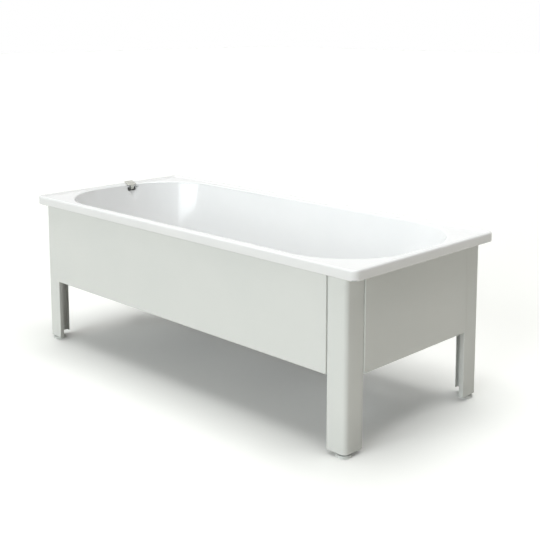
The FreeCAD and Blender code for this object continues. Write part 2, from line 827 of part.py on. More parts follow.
def make_upper_rail():
    """An angle along the rear side: a web that stands, and a flange under the deck."""
    inner = rail_web_y - rail_sheet
    top = upper_rail_top_z
    points = [
        (inner, top - upper_rail_web),
        (rail_web_y, top - upper_rail_web),
        (rail_web_y, top - rail_sheet),
        (inner + upper_rail_flange, top - rail_sheet),
        (inner + upper_rail_flange, top),
        (inner, top),
    ]
    corners = [Vector(-long_rail_end_x, y, z) for y, z in points]
    face = Part.Face(Part.makePolygon(corners + corners[:1]))
    rail = face.extrude(Vector(2 * long_rail_end_x, 0, 0))
    for x in upper_bolt_places():
        rail = rail.cut(bolt(x, upper_bolt_y, top - rail_sheet, top))
    return rail


def clip_places():
    return [-clip_spacing, 0, clip_spacing]


def upper_bolt_places():
    return [-upper_bolt_x] + clip_places() + [upper_bolt_x]


def square_tube(x, y, z, along):
    """A hollow square rail; along is 'x' or 'y'."""
    wall = lower_rail_wall
    outer = block(x, y, z)
    if along == "x":
        inner = block(x, (y[0] + wall, y[1] - wall), (z[0] + wall, z[1] - wall))
    else:
        inner = block((x[0] + wall, x[1] - wall), y, (z[0] + wall, z[1] - wall))
    return outer.cut(inner)


def make_long_lower_rail():
    rail = square_tube(
        (-long_rail_end_x, long_rail_end_x),
        (rail_web_y - lower_rail, rail_web_y),
        (lower_rail_height, lower_rail_top_z),
        "x",
    )
    for x in (-lower_bolts[0][0], lower_bolts[0][0]):
        rail = rail.cut(bolt(x, lower_bolts[0][1], lower_rail_height, lower_rail_top_z))
    return rail


def make_end_lower_rail():
    rail = square_tube(
        (end_rail_web_x - lower_rail, end_rail_web_x),
        (-rail_web_y, rail_web_y),
        (lower_rail_height, lower_rail_top_z),
        "y",
    )
    for y in (-lower_bolts[1][1], lower_bolts[1][1]):
        rail = rail.cut(bolt(lower_bolts[1][0], y, lower_rail_height, lower_rail_top_z))
    return rail


def make_end_upper_rail():
    """A folded strip behind the end panel, welded by its end tabs to the legs' side flanges."""
    reach = leg_y - leg_sheet - seat_gap
    low = end_rail_top_z - end_rail_web
    height = (low, end_rail_top_z)
    inner_x = end_rail_web_x - rail_sheet
    rail = block((inner_x, end_rail_web_x), (-reach, reach), height)
    tab_x = (end_rail_web_x - leg_lip, end_rail_web_x)
    for y in ((-reach, -reach + rail_sheet), (reach - rail_sheet, reach)):
        rail = rail.fuse(block(tab_x, y, height))
    shelf = block(tab_x, (-rail_web_y, rail_web_y), (low, low + rail_sheet))
    return rail.fuse(shelf).removeSplitter()


front_peg_points = [
    Vector(x, -rail_web_y, z) for z in (front_upper_peg_z, lower_peg_z) for x in (-front_peg_x, front_peg_x)
]
end_peg_points = [
    Vector(end_rail_web_x, y, z) for z in (end_upper_peg_z, lower_peg_z) for y in (-end_peg_y, end_peg_y)
]
to_front = Vector(0, -1, 0)
to_end = Vector(1, 0, 0)


def drilled(rail, points, sheet, outward):
    for hole in shank_holes(points, sheet, outward):
        rail = rail.cut(hole)
    return rail


upper_rails = both_sides(make_upper_rail())
save("rail_rear_upper", upper_rails["rear"])
save("rail_front_upper", drilled(upper_rails["front"], front_peg_points[:2], rail_sheet, to_front))
lower_rails = both_sides(make_long_lower_rail())
save("rail_rear_lower", lower_rails["rear"])
save("rail_front_lower", drilled(lower_rails["front"], front_peg_points[2:], lower_rail_wall, to_front))
end_lower = make_end_lower_rail()
save("rail_drain_end_lower", mirrored(end_lower, True, False))
save("rail_end_lower", drilled(end_lower, end_peg_points[2:], lower_rail_wall, to_end))
save("rail_end_upper", drilled(make_end_upper_rail(), end_peg_points[:2], rail_sheet, to_end))


def make_seat_strip():
    return block(
        (-long_rail_end_x, long_rail_end_x),
        (rail_web_y - rail_sheet + strip_inset, rail_web_y - rail_sheet + upper_rail_flange),
        (upper_rail_top_z, deck_under_z),
    )


def make_rim_clip(x):
    """Grips the skirt's rolled lip and reaches under the rail's flange."""
    high = upper_rail_top_z - rail_sheet
    outer = half_width - tub_steel - seat_gap
    inner = rail_web_y + clip_web_gap
    along = (x - clip_width / 2, x + clip_width / 2)
    plate = block(along, (inner, outer), (high - clip_sheet, high))
    leg = block(along, (outer - clip_sheet, outer), (skirt_z + tub_steel, high))
    clip = plate.fuse(leg).removeSplitter()
    return clip.cut(bolt(x, upper_bolt_y, high - clip_sheet, high))


def make_frame_bolts():
    """Upper bolts end flush in the rails' flanges; lower bolts have heads on the square rails."""
    group = []
    for x in upper_bolt_places():
        low = upper_plate_low_z - bolt_nut_height - bolt_tail
        upper = bolt(x, upper_bolt_y, low, upper_rail_top_z)
        group += [upper, mirrored(upper, False, True)]
    for x, y in lower_bolts:
        low = lower_plate_low_z - bolt_nut_height - bolt_tail
        seat = Vector(x, y, lower_rail_top_z)
        head = rod(bolt_head_radius, seat, seat + Vector(0, 0, bolt_head_height))
        group += everywhere(bolt(x, y, low, lower_rail_top_z).fuse(head))
    return group


def make_frame_nuts():
    group = everywhere(nut(upper_bolt_x, upper_bolt_y, upper_plate_low_z))
    for x, y in lower_bolts:
        group += everywhere(nut(x, y, lower_plate_low_z))
    for x in clip_places():
        clip_nut = nut(x, upper_bolt_y, upper_plate_top_z - clip_sheet)
        group += [clip_nut, mirrored(clip_nut, False, True)]
    return group


save("seat_strips", list(both_sides(make_seat_strip()).values()))
rim_clips = [make_rim_clip(x) for x in clip_places()]
save("rim_clips", rim_clips + [mirrored(clip, False, True) for clip in rim_clips])
save("frame_bolts", make_frame_bolts())
save("frame_nuts", make_frame_nuts())


# ---------------------------------------------------------------- panels and their pegs
def tray(width, height):
    """A folded panel in local axes: X across, Y from its face inward, Z up from its bottom."""
    half = width / 2
    outer = block((-half, half), (0, panel_depth), (0, height))
    front_edges = upright_edges(outer, lambda p: p.y < 0.01)
    front_edges += [e for e in level_edges(outer, 0) + level_edges(outer, height) if e.BoundBox.YMax < 0.01]
    outer = outer.makeFillet(panel_edge_radius, front_edges)
    sheet = panel_sheet
    inner = block((-half + sheet, half - sheet), (sheet, 2 * panel_depth), (sheet, height - sheet))
    inner_edges = upright_edges(inner, lambda p: p.y < sheet + 0.01)
    level = level_edges(inner, sheet) + level_edges(inner, height - sheet)
    inner_edges += [e for e in level if e.BoundBox.YMax < sheet + 0.01]
    return outer.cut(inner.makeFillet(panel_edge_radius - sheet, inner_edges))


def make_front_panel():
    width = 2 * (leg_x - leg_flange_side - panel_side_gap)
    panel = tray(width, panel_top_z - panel_floor_gap)
    panel.translate(Vector(0, front_panel_y, panel_floor_gap))
    return panel


def make_end_panel():
    width = 2 * (leg_y - leg_flange_end - panel_side_gap)
    panel = tray(width, panel_top_z - panel_floor_gap)
    panel.rotate(Vector(0, 0, 0), Vector(0, 0, 1), 90)
    panel.translate(Vector(end_panel_x, 0, panel_floor_gap))
    return panel


peg_reach = rail_from_leg_face + panel_proud - panel_sheet - peg_tip_gap
grip_reach = rail_from_leg_face + panel_proud - panel_sheet


def make_peg(point, outward, sheet):
    """A locating peg: head behind the sheet, shank through it, round peg in front."""
    body = rod(peg_radius, point, point + outward * peg_reach)
    shank = rod(peg_shank_radius, point - outward * sheet, point)
    head = rod(peg_head_radius, point - outward * (sheet + peg_head_height), point - outward * sheet)
    return body.fuse(shank).fuse(head)


def make_grip(point, outward):
    """A round grip on the panel's inner face, bored for the peg."""
    start = point + outward * grip_seat
    end = point + outward * grip_reach
    bore_end = point + outward * (peg_reach + peg_bore_spare)
    return rod(grip_radius, start, end).cut(rod(peg_radius + peg_clearance, start, bore_end))


front_sheets = [rail_sheet, rail_sheet, lower_rail_wall, lower_rail_wall]
save("front_panel", make_front_panel())
save("end_panel", make_end_panel())
save("front_pegs", [make_peg(p, to_front, s) for p, s in zip(front_peg_points, front_sheets)])
save("end_pegs", [make_peg(p, to_end, s) for p, s in zip(end_peg_points, front_sheets)])
save("front_grips", [make_grip(p, to_front) for p in front_peg_points])
save("end_grips", [make_grip(p, to_end) for p in end_peg_points])


# ---------------------------------------------------------------- pads and earthing tag
def make_sound_pads():
    under = floor_z - tub_steel
    across = (-pad_width / 2, pad_width / 2)
    first = drain_x + pad_gap
    second = first + pad_length + pad_gap
    return [block((x, x + pad_length), across, (under - pad_thickness, under)) for x in (first, second)]


def make_earth_tag():
    """Welded to the inner edge of the skirt's lip, at the rear."""
    x = -clip_spacing - clip_width / 2 - earth_tag_to_clip - earth_tag_width / 2
    outer = half_width - skirt_lip
    low = skirt_z + tub_steel - earth_tag_height / 2
    tag = block(
        (x - earth_tag_width / 2, x + earth_tag_width / 2),
        (outer - rail_sheet, outer),
        (low, low + earth_tag_height),
    )
    hole_z = low + 2 * earth_tag_hole_radius
    return tag.cut(
        rod(earth_tag_hole_radius, Vector(x, outer - rail_sheet, hole_z), Vector(x, outer, hole_z))
    )


save("sound_pads", make_sound_pads())
save("earth_tag", make_earth_tag())
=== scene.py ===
# %% [markdown]
# # A bathtub on four folded legs
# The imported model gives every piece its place. This script dresses it: smooth enamel and folded
# sheet surfaces written as arrays, procedural materials, and the view of the photograph.

# %% Load the fixed frame
import json
import math

import bpy
import numpy as np
from mathutils import Matrix, Vector


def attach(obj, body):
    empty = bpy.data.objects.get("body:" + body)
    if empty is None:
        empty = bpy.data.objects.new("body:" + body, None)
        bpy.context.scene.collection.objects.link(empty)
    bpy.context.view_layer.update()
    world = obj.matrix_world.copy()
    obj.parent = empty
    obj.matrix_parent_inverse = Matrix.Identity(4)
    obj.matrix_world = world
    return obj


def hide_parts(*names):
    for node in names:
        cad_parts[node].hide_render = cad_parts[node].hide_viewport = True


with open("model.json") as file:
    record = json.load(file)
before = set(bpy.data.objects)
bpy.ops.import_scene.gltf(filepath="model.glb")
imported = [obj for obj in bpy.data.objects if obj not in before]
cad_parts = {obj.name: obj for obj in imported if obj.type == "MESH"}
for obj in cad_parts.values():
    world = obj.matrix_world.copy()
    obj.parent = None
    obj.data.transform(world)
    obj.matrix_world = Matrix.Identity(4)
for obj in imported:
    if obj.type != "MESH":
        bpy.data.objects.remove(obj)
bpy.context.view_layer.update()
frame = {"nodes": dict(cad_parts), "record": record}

scene = bpy.context.scene

# %% [markdown]
# ## Sizes
# The model's own sizes, in metres. The origin lies on the floor under the middle of the tub, +X runs
# to the sloping end, and the front panel faces -Y. Only the sizes that several pieces share stand
# here. Each of the others is named in the cell that first needs it.

# %% Sizes that several pieces share
MM = 0.001
half_length, half_width, rim_z = 800 * MM, 350 * MM, 563 * MM
skirt_z = rim_z - 32 * MM                # lower edge of the rim's skirt
bead_height = 5 * MM                     # the rim's bead stands this far above the deck
deck_z = rim_z - bead_height
basin_depth = 385 * MM
floor_z = deck_z - basin_depth
drain = (-540 * MM, 0.0)
dish_drop = 3 * MM                       # depth of the dish round the drain
overflow_y = 85 * MM
leg_x, leg_y = 758 * MM, 334 * MM        # outer faces of the legs
leg_side, leg_end = 71 * MM, 77 * MM     # widths of a leg's two flanges
print("tub", 2 * half_length, "x", 2 * half_width, "x", rim_z)

# %% [markdown]
# ## Surfaces as rows of points
# Every smooth piece here is a stack of closed rows with the same number of points. Neighbouring rows
# are joined by quads, so one array describes a surface that is closed round each row. A stack either
# runs back into its first row, like a ring, or is closed by a flat face at both ends, like a cup.
# Subdivision modelling could give the same forms, but rows keep each radius exact.

# %% Rows and arcs
def corner_row(x, y, radius, corner_steps=18, side_steps=4):
    """Points round a rounded rectangle, counterclockwise, as an (n, 2) array.

    Corner k has the centre (x_k -/+ radius, y_k -/+ radius) and the points
    centre + radius * (cos a, sin a), for a over a quarter turn; sides are divided evenly.
    """
    centres = np.array([
        (x[1] - radius, y[0] + radius),
        (x[1] - radius, y[1] - radius),
        (x[0] + radius, y[1] - radius),
        (x[0] + radius, y[0] + radius),
    ])
    turn = np.linspace(0, np.pi / 2, corner_steps + 1)
    angle = np.radians([-90, 0, 90, 180])[:, None] + turn[None, :]
    arcs = centres[:, None] + radius * np.stack([np.cos(angle), np.sin(angle)], axis=-1)
    following = np.roll(arcs[:, 0], -1, axis=0)
    share = (np.arange(1, side_steps) / side_steps)[None, :, None]
    sides = arcs[:, -1][:, None] * (1 - share) + following[:, None] * share
    return np.concatenate([arcs, sides], axis=1).reshape(-1, 2)


def lift(row, z):
    """A flat row (n, 2) set at height z, as (n, 3)."""
    return np.column_stack([row, np.full(len(row), z)])


def arc(centre, radius, start, end, steps):
    """Points (steps + 1, 2) on centre + radius * (cos a, sin a), a from start to end in degrees."""
    a = np.radians(np.linspace(start, end, steps + 1))
    return np.array(centre) + radius * np.column_stack([np.cos(a), np.sin(a)])


def turned(profile, centre, steps=64):
    """Rows of a lathe form: each (radius, height) of the profile turned about an upright axis.

    Its points are centre + radius * (cos a, sin a), for a over a full turn.
    """
    profile = np.asarray(profile, float)
    a = np.linspace(0, 2 * np.pi, steps, endpoint=False)
    radius = profile[:, 0][:, None]
    height = np.broadcast_to(profile[:, 1][:, None], (len(profile), steps))
    return np.stack(
        [centre[0] + radius * np.cos(a), centre[1] + radius * np.sin(a), height], axis=-1
    )


print("one row of a rounded rectangle has", len(corner_row((-1, 1), (-1, 1), 0.2)), "points")

# %% [markdown]
# ## From rows to a piece
# A renderer and an exporter both want every face to look outward. Blender has an operator for that.
# Here the sign of the enclosed volume decides it, which is one sum and leaves no doubt. The same
# helper says which body a piece rides on, and gives it the finish of its material slot.

# %% Close a stack of rows
def signed_volume(points, faces):
    """Sum over each face's fan of p0 . (p1 x p2) / 6: above zero where the faces look outward."""
    total = 0.0
    for face in faces:
        fan = points[face]
        total += np.einsum("j,ij->", fan[0], np.cross(fan[1:-1], fan[2:])) / 6
    return total


def stack_faces(count, around, ring):
    """Quads between neighbouring rows; a ring's last row joins its first, else two flat ends."""
    index = np.arange(count * around).reshape(count, around)
    lower = index if ring else index[:-1]
    upper = np.roll(index, -1, axis=0) if ring else index[1:]
    quads = np.stack(
        [lower, np.roll(lower, -1, axis=1), np.roll(upper, -1, axis=1), upper], axis=-1
    ).reshape(-1, 4)
    faces = [list(q) for q in quads.tolist()]
    if not ring:
        faces += [index[0][::-1].tolist(), index[-1].tolist()]
    return faces


def make_piece(name, rows, body, slot, ring=False, sharp=35.0, replaced=()):
    """A closed piece from rows (m, n, 3), facing outward, riding on a body.

    Point i of row k becomes vertex k * n + i. Edges over `sharp` degrees stay sharp. The finish comes
    from the table `finishes`, which a later cell fills before the first piece is made.
    """
    rows = np.asarray(rows, float)
    points = rows.reshape(-1, 3)
    faces = stack_faces(rows.shape[0], rows.shape[1], ring)
    if signed_volume(points - points.mean(axis=0), faces) < 0:
        faces = [face[::-1] for face in faces]
    mesh = bpy.data.meshes.new(name)
    mesh.from_pydata(points.tolist(), [], faces)
    mesh.shade_smooth()
    mesh.set_sharp_from_angle(angle=math.radians(sharp))
    piece = bpy.data.objects.new(name, mesh)
    scene.collection.objects.link(piece)
    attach(piece, body)
    if replaced:
        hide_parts(*replaced)
    mesh.materials.append(finishes[slot])
    return piece


print("a ring of 3 rows of 8 points has", len(stack_faces(3, 8, True)), "faces")

# %% [markdown]
# ## Camera
# Fitted to the straight edges of the photograph. The picture's vertical lines stay almost parallel
# while the view is from above, so the camera looks down only a little and its lens is shifted. It
# could be tilted further down without a shift, but then the legs would draw together below.

# %% Camera
focal_pixels, picture_pixels, sensor_mm = 950.0, 540, 36.0
camera_place = (2.3992, -2.2838, 1.2349)
yaw, pitch, roll = math.radians(44.844), math.radians(7.834), math.radians(-0.01)
camera_data = bpy.data.cameras.new("camera")
camera = bpy.data.objects.new("camera", camera_data)
scene.collection.objects.link(camera)
forward = Vector((-math.sin(yaw) * math.cos(pitch), math.cos(yaw) * math.cos(pitch), -math.sin(pitch)))
right = Vector((math.cos(yaw), math.sin(yaw), 0.0))
up = right.cross(forward)
turn = Matrix.Rotation(-roll, 3, forward)
right, up = turn @ right, turn @ up
axes = Matrix((right, up, -forward)).transposed()
camera.matrix_world = Matrix.Translation(camera_place) @ axes.to_4x4()
camera_data.sensor_width = sensor_mm
camera_data.lens = focal_pixels / picture_pixels * sensor_mm
camera_data.shift_y = -0.22
camera_data.clip_start, camera_data.clip_end = 0.05, 100.0
scene.camera = camera
print("lens", round(camera_data.lens, 1), "mm")

# %% [markdown]
# ## Materials
# No real surface has quite one colour and one gloss, and a render that has them looks like plastic.
# Pictures of enamel or steel could be wrapped round the pieces. Noise on object coordinates needs no
# unwrapping, has no seams and stays sharp from close up, so each finish is a small tree of such nodes.

# %% Node tools
def noise(tree, place, scale, detail, rough, stretch=None):
    """A noise pattern; stretch multiplies the coordinates along each axis."""
    if stretch:
        mapping = tree.nodes.new("ShaderNodeMapping")
        mapping.inputs["Scale"].default_value = stretch
        tree.links.new(place, mapping.inputs["Vector"])
        place = mapping.outputs["Vector"]
    node = tree.nodes.new("ShaderNodeTexNoise")
    node.inputs["Scale"].default_value = scale
    node.inputs["Detail"].default_value = detail
    node.inputs["Roughness"].default_value = rough
    tree.links.new(place, node.inputs["Vector"])
    return node.outputs["Fac"]


def ramp(tree, value, stops):
    """Colours along a value; stops are (position, colour)."""
    node = tree.nodes.new("ShaderNodeValToRGB")
    while len(node.color_ramp.elements) < len(stops):
        node.color_ramp.elements.new(0.5)
    for element, (position, colour) in zip(node.color_ramp.elements, stops):
        element.position = position
        element.color = (*colour, 1.0)
    tree.links.new(value, node.inputs["Fac"])
    return node.outputs["Color"]


def spread(tree, value, low, high, given):
    """The value carried evenly from the range `given` to the range low to high."""
    node = tree.nodes.new("ShaderNodeMapRange")
    node.inputs["From Min"].default_value, node.inputs["From Max"].default_value = given
    node.inputs["To Min"].default_value = low
    node.inputs["To Max"].default_value = high
    tree.links.new(value, node.inputs["Value"])
    return node.outputs["Result"]


def bump(tree, shader, value, strength, distance):
    """Shading that tilts as if the surface rose by distance times the value."""
    node = tree.nodes.new("ShaderNodeBump")
    node.inputs["Strength"].default_value = strength
    node.inputs["Distance"].default_value = distance
    tree.links.new(value, node.inputs["Height"])
    tree.links.new(node.outputs["Normal"], shader.inputs["Normal"])


print("node tools", [tool.__name__ for tool in (noise, ramp, spread, bump)])

# %% [markdown]
# ## One finish
# All the finishes differ only in numbers, so one function makes them. A slow noise shifts the colour
# between two close tones, and a fine one varies the roughness and gives the bump. Constants sit on
# the shader's own sockets, where an exporter finds them.

# %% Make one finish
noise_span = (0.3, 0.7)                  # nearly all of a noise lies between these values


def finish_material(name, colours, roughness, grain, metal=0.0, coat=0.0, cloud=6.0, stretch=None):
    """One finish: cloudy colour between two tones, roughness range, and a grain bump.

    grain is (scale, strength, distance); cloud is the colour noise's scale.
    """
    material = bpy.data.materials.new(name)
    material.use_nodes = True
    tree = material.node_tree
    shader = tree.nodes["Principled BSDF"]
    place = tree.nodes.new("ShaderNodeTexCoord").outputs["Object"]
    tone = noise(tree, place, cloud, 3.0, 0.55, stretch)
    tree.links.new(ramp(tree, tone, list(zip(noise_span, colours))), shader.inputs["Base Color"])
    fine = noise(tree, place, grain[0], 3.0, 0.6, stretch)
    tree.links.new(spread(tree, fine, *roughness, noise_span), shader.inputs["Roughness"])
    bump(tree, shader, fine, grain[1], grain[2])
    shader.inputs["Metallic"].default_value = metal
    shader.inputs["Coat Weight"].default_value = coat
    shader.inputs["Coat Roughness"].default_value = 0.06
    return material


print("noise runs from", *noise_span)

# %% [markdown]
# ## The finishes
# One entry for each material slot of the model, and one more, pale_seal, for the overflow's gasket: painted
# light, pale to lighten the shade in the slot.
# Enamel is glass melted onto steel, so it is smooth under a clear coat. Powder coat is duller, with a
# very fine grain. Satin steel is ground one way, so its noise is stretched along one axis. The sheet
# underneath keeps the grey ground coat that lies below white enamel. Each could be its own cell, but
# in one table their values can be compared.

# %% The finishes
finishes = {
    "enamel": finish_material(
        "white_enamel", [(0.845, 0.854, 0.858), (0.866, 0.872, 0.874)],
        roughness=(0.10, 0.20), grain=(34.0, 0.10, 0.0006), coat=0.2
    ),
    "white_paint": finish_material(
        "white_powder_coat", [(0.715, 0.735, 0.712), (0.745, 0.76, 0.735)],
        roughness=(0.38, 0.52), grain=(850.0, 0.12, 0.0002), cloud=3.0
    ),
    "zinc_steel": finish_material(
        "zinc_plated_steel", [(0.47, 0.48, 0.49), (0.62, 0.63, 0.64)],
        roughness=(0.28, 0.46), grain=(240.0, 0.15, 0.0002), metal=1.0, cloud=45.0
    ),
    "satin_steel": finish_material(
        "satin_stainless", [(0.46, 0.46, 0.42), (0.56, 0.56, 0.52)],
        roughness=(0.22, 0.36), grain=(260.0, 0.12, 0.0001), metal=1.0, cloud=60.0, stretch=(1.0, 0.06, 1.0)
    ),
    "chrome": finish_material(
        "chrome_plate", [(0.78, 0.79, 0.80), (0.84, 0.85, 0.86)],
        roughness=(0.03, 0.09), grain=(60.0, 0.03, 0.0001), metal=1.0, cloud=20.0
    ),
    "rubber": finish_material(
        "black_rubber", [(0.022, 0.022, 0.023), (0.045, 0.045, 0.046)],
        roughness=(0.55, 0.75), grain=(600.0, 0.25, 0.0003), cloud=30.0
    ),
    # painted light: the gasket is pale so that the shade inside the overflow's slot looks lighter
    "pale_seal": finish_material(
        "pale_grey_rubber", [(0.58, 0.59, 0.60), (0.66, 0.67, 0.68)],
        roughness=(0.50, 0.65), grain=(600.0, 0.2, 0.0002), cloud=30.0
    ),
    "grey_plastic": finish_material(
        "moulded_grey_plastic", [(0.72, 0.73, 0.74), (0.79, 0.80, 0.80)],
        roughness=(0.34, 0.48), grain=(420.0, 0.10, 0.0002), cloud=18.0
    ),
    "foot_plastic": finish_material(
        "moulded_foot_plastic", [(0.84, 0.86, 0.84), (0.89, 0.90, 0.88)],
        roughness=(0.38, 0.52), grain=(420.0, 0.12, 0.0002), cloud=25.0
    ),
}
ground_coat = finish_material(
    "grey_ground_coat", [(0.40, 0.41, 0.42), (0.56, 0.57, 0.57)],
    roughness=(0.35, 0.55), grain=(160.0, 0.2, 0.0004), cloud=320.0
)
print("finishes", sorted(finishes))

# %% [markdown]
# ## Tub: the rim
# The rim is pressed from the same sheet as the basin: a rolled lip below, an upright skirt, a rounded
# bead, and a slope down to the flat deck. A bevelled box could stand for it. One profile of insets and
# heights gives each radius its own value, and its rows go on into the basin without a seam.

# %% Rows of the rim
corner_steps, side_steps = 72, 14
rim_corner, least_corner = 24 * MM, 6 * MM
lip_inset, lip_radius, edge_radius = 5 * MM, 3.5 * MM, 7 * MM
bead_flat, bead_slope = 10 * MM, 8 * MM  # inset where the bead starts to fall, and how wide it falls


def smooth(t):
    """3 t^2 - 2 t^3: from 0 to 1, level at both ends."""
    return 3 * t**2 - 2 * t**3


def rim_row(inset, z):
    """The rim's outline drawn in by inset, at height z."""
    x, y = half_length - inset, half_width - inset
    radius = max(rim_corner - inset, least_corner)
    return lift(corner_row((-x, x), (-y, y), radius, corner_steps, side_steps), z)


def rim_rows():
    """Rows along a profile of (inset, height): two quarter arcs, then rim_z - bead_height * smooth(t)."""
    roll = arc((lip_radius, skirt_z + lip_radius), lip_radius, 270, 180, 5)
    edge = arc((edge_radius, rim_z - edge_radius), edge_radius, 180, 90, 8)
    t = np.linspace(0, 1, 9)[1:]
    fall = np.column_stack([bead_flat + bead_slope * t, rim_z - bead_height * smooth(t)])
    profile = np.vstack([[(lip_inset, skirt_z)], roll, edge, [(bead_flat, rim_z)], fall])
    return [rim_row(inset, z) for inset, z in profile]


deck_edge = rim_rows()
rim_count = len(deck_edge)
print("rows of the rim", rim_count)

# %% [markdown]
# ## Tub: the basin's walls
# A wall leaves the deck over a small radius and reaches the floor over a large one, so that the basin
# is easy to wipe and drains dry. A bevel modifier could round both edges, but it follows the mesh's
# own edges. Here each point of the mouth has a partner on the floor, and both roundings are true arcs
# in the upright section through the two.

# %% Rows of the walls
opening_x = (-775 * MM, 763 * MM)        # basin's mouth, at the deck
opening_y, opening_radius = 308 * MM, 245 * MM
floor_x = (-660 * MM, 493 * MM)          # where the walls' planes meet the basin floor
floor_y, floor_radius = 215 * MM, 125 * MM
mouth_fillet, floor_fillet = 8 * MM, 70 * MM
mouth = corner_row(opening_x, (-opening_y, opening_y), opening_radius, corner_steps, side_steps)
meeting = corner_row(floor_x, (-floor_y, floor_y), floor_radius, corner_steps, side_steps)
inward = meeting - mouth
run = np.linalg.norm(inward, axis=1)
inward = inward / run[:, None]
slope = np.arctan2(basin_depth, run)[:, None]         # wall's angle below the horizontal


def wall_row(share):
    """Points a share of the way down the sloping wall: mouth + inward * run * share."""
    flat = mouth + inward * (run * share)[:, None]
    return lift(flat, deck_z - basin_depth * share)


def mouth_rows(steps=7):
    """Deck turning down into the wall: an arc of mouth_fillet in each upright section."""
    tangent = mouth_fillet * np.tan(slope / 2)
    rows = []
    for share in np.linspace(0, 1, steps + 1):
        a = slope * share
        flat = mouth - inward * tangent + inward * mouth_fillet * np.sin(a)
        rows.append(np.column_stack([flat, deck_z - mouth_fillet * (1 - np.cos(a))]))
    return rows


def foot_rows(steps=14):
    """Wall turning into the floor: an arc of floor_fillet in each upright section."""
    tangent = floor_fillet * np.tan(slope / 2)
    rows = []
    for share in np.linspace(1, 0, steps + 1):
        a = slope * share
        flat = meeting + inward * (tangent - floor_fillet * np.sin(a))
        rows.append(np.column_stack([flat, floor_z + floor_fillet * (1 - np.cos(a))]))
    return rows


print("steepest wall", round(float(np.degrees(slope.max())), 1), "degrees")

# %% [markdown]
# ## Tub: the floor and its drain
# The floor runs to a shallow dish that the flange lies in, so that its edge doesn't dam the water. A
# hole could be cut through a finished floor. Rows that change step by step from the floor's outline
# to a circle need no cut and leave no odd faces round the hole.

# %% Rows of the floor
dish_edge, dish_slope = 54, 10           # mm: radius where the dish begins, and how wide it falls
dish_radii = (35, 27, 26)                # mm: the last is the hole's


def drain_row(radius, z, around):
    """A circle about the drain, each point in the direction of its partner on the floor's edge."""
    away = around[:, :2] - np.array(drain)
    away = away / np.linalg.norm(away, axis=1)[:, None]
    return lift(np.array(drain) + radius * away, z)


def floor_rows(edge):
    """Flat floor from its edge to the drain's dish, which falls by dish_drop * smooth(s)."""
    collar = drain_row(dish_edge * MM, floor_z, edge)
    rows = [edge * (1 - s) + collar * s for s in np.linspace(0.12, 1, 8)]
    for s in np.linspace(0, 1, 7)[1:]:
        rows.append(drain_row((dish_edge - dish_slope * s) * MM, floor_z - dish_drop * smooth(s), edge))
    return rows + [drain_row(r * MM, floor_z - dish_drop, edge) for r in dish_radii]


print("hole", 2 * dish_radii[-1], "mm wide")

# %% [markdown]
# ## Tub: one sheet
# The real tub is one sheet drawn in a press, so its rows become one array, from the rolled lip to the
# edge of the hole. They lie closer together in the wall's upper quarter, where the next cell presses
# a hollow, because a form pressed into wide faces would come out angular.

# %% The upper side
start = mouth_fillet * math.tan(float(slope.mean()) / 2) / basin_depth
shares = np.concatenate([np.linspace(start, 0.24, 34), np.linspace(0.27, 0.84, 20)])
mouth_edge, foot = mouth_rows(), foot_rows()
deck = [deck_edge[-1] * (1 - s) + mouth_edge[0] * s for s in (0.12, 0.5, 0.88)]
upper = np.array(deck_edge + deck + mouth_edge + [wall_row(s) for s in shares] + foot + floor_rows(foot[-1]))
print("rows", upper.shape)

# %% [markdown]
# ## The overflow's scoop
# The sheet is pressed outward below the cover, as a tilted cylinder that fades out down the wall. A
# boolean with a cylinder would leave a hard edge. So the points of the end wall move along -X to the
# deeper of the two surfaces, blended so that the edge stays soft like real enamel.

# %% Press the scoop into the end wall
scoop_half, scoop_bulge, scoop_soft = 36 * MM, 40.9 * MM, 1.5 * MM
scoop_axis_x, scoop_lean, scoop_level = -744.5 * MM, 0.54, 12 * MM
scoop_top, scoop_fade, scoop_bottom = 9 * MM, 9 * MM, 250 * MM
end_wall_x = -600 * MM                   # only points beyond this belong to the end wall


def press_scoop(points):
    """x becomes the smooth minimum of the wall's x and the cylinder's back.

    back(y, drop) = axis_x + lean * (drop - level) - bulge * sqrt(1 - ((y - overflow_y) / half)^2)
    """
    x, y, z = points[..., 0], points[..., 1], points[..., 2]
    drop = deck_z - z
    across = (y - overflow_y) / scoop_half
    reach = np.sqrt(np.clip(1 - across**2, 0, 1))
    back = scoop_axis_x + scoop_lean * (drop - scoop_level) - scoop_bulge * reach
    depth = np.clip(x - back, 0, None)
    depth = depth**2 / (depth + scoop_soft)
    fade = smooth(np.clip((drop - scoop_top) / scoop_fade, 0, 1))
    inside = (np.abs(across) < 1) & (x < end_wall_x) & (drop < scoop_bottom) & (drop > scoop_top)
    moved = points.copy()
    moved[..., 0] = np.where(inside, x - depth * fade, x)
    return moved


flat_wall = upper
upper = press_scoop(flat_wall)
print("scoop", round(float((flat_wall - upper)[..., 0].max()) / MM, 1), "mm deep")

# %% [markdown]
# ## The underside
# Sheet steel has one thickness everywhere, so the underside is the upper side moved inward along its
# own normals. A solidify modifier does the same, but it repeats every face where nobody looks. Here
# only some of the rows go on below, and both sides together make one ring of rows.

# %% Underside and closed sheet
steel = 3 * MM
rim_kept = [0, 1, 6, 8, 10, 12, 14, 15, 20, 23]       # rows that carry the rim's form
basin_stride = 3                                      # and then one row in three


def row_normals(points):
    """Unit normals of a stack of closed rows: the cross product of both directions' differences."""
    along = np.gradient(points, axis=0)
    around = np.roll(points, -1, axis=1) - np.roll(points, 1, axis=1)
    normal = np.cross(around, along)
    return normal / np.linalg.norm(normal, axis=-1, keepdims=True)


